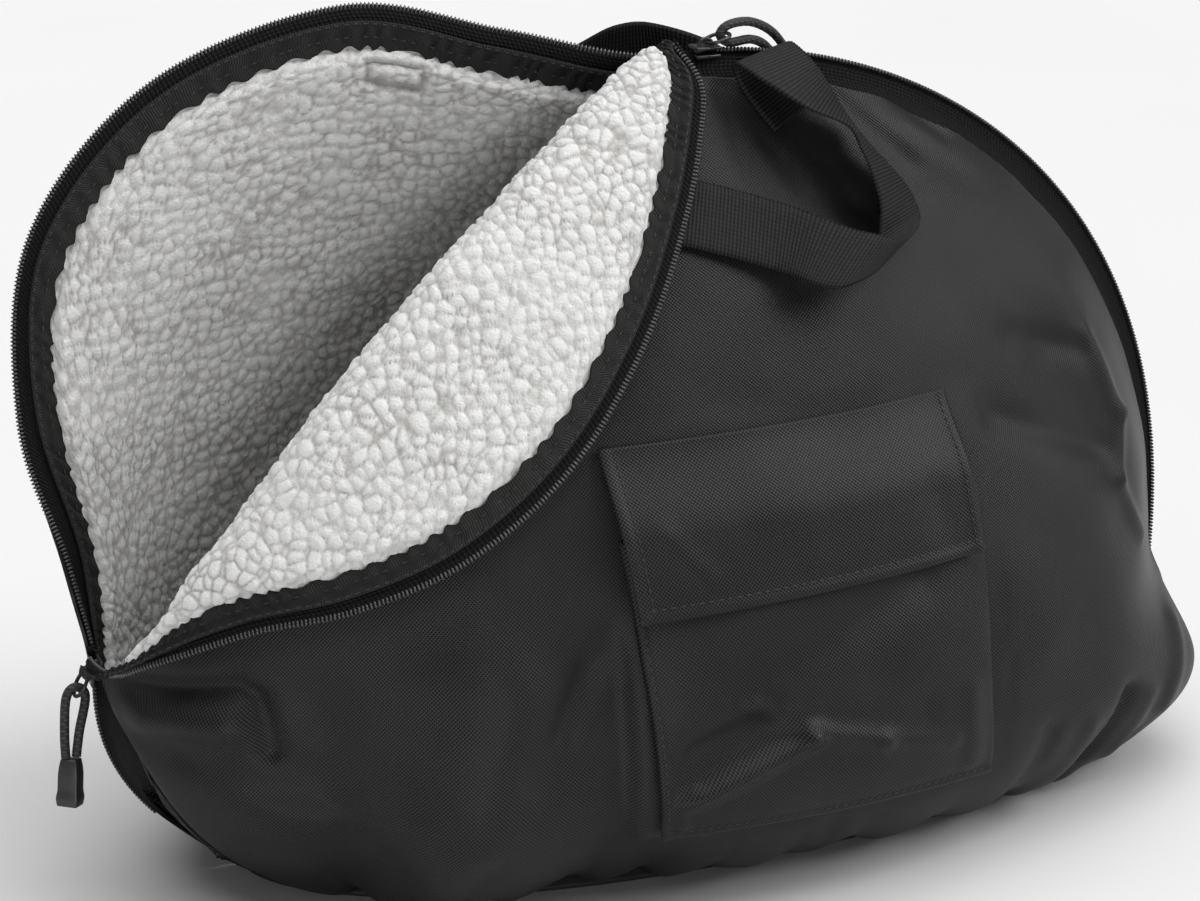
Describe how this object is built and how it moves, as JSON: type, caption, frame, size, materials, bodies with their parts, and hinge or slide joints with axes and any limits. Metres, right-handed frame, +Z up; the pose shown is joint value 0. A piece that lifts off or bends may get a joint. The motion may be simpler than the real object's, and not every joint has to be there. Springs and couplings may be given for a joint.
{
  "type": "helmet bag",
  "caption": "Soft half-moon carry bag in black nylon with white sherpa lining, standing with its zip half open and the front corner folded down",
  "frame": {"origin": "on the floor under the bag, at the middle of the base panel's underside on the zip's plane", "axes": "+X along the bag to the right as seen from the front, +Y to the back, +Z up"},
  "size_m": [0.443, 0.2221, 0.2981],
  "materials": {
    "nylon": "black woven nylon, satin",
    "sherpa": "off-white curly pile",
    "webbing": "black ribbed webbing",
    "zip_tape": "black ribbed zip tape and binding",
    "zip_coil": "black nylon coil",
    "cord": "black braided cord",
    "toggle": "black moulded cord end",
    "slider_metal": "black coated metal"
  },
  "bodies": {
    "root": {"shell_front": "nylon", "shell_back": "nylon", "base_panel": "nylon", "pocket_panel": "nylon", "pocket_flap": "nylon", "lining_front": "sherpa", "lining_back": "sherpa", "lining_base": "sherpa", "zip_tape_flap": "zip_tape", "zip_tape_back": "zip_tape", "binding_flap": "zip_tape", "binding_back": "zip_tape", "zip_closed_left": "zip_tape", "zip_closed_right": "zip_tape", "zip_coil_flap": "zip_coil", "zip_coil_back": "zip_coil", "slider_left": "slider_metal", "slider_top": "slider_metal", "hoop_left": "slider_metal", "hoop_top": "slider_metal", "pull_cord_left": "cord", "pull_cord_top": "cord", "toggle_left": "toggle", "toggle_top": "toggle", "handle_front": "webbing", "handle_back": "webbing"}
  },
  "joints": []
}
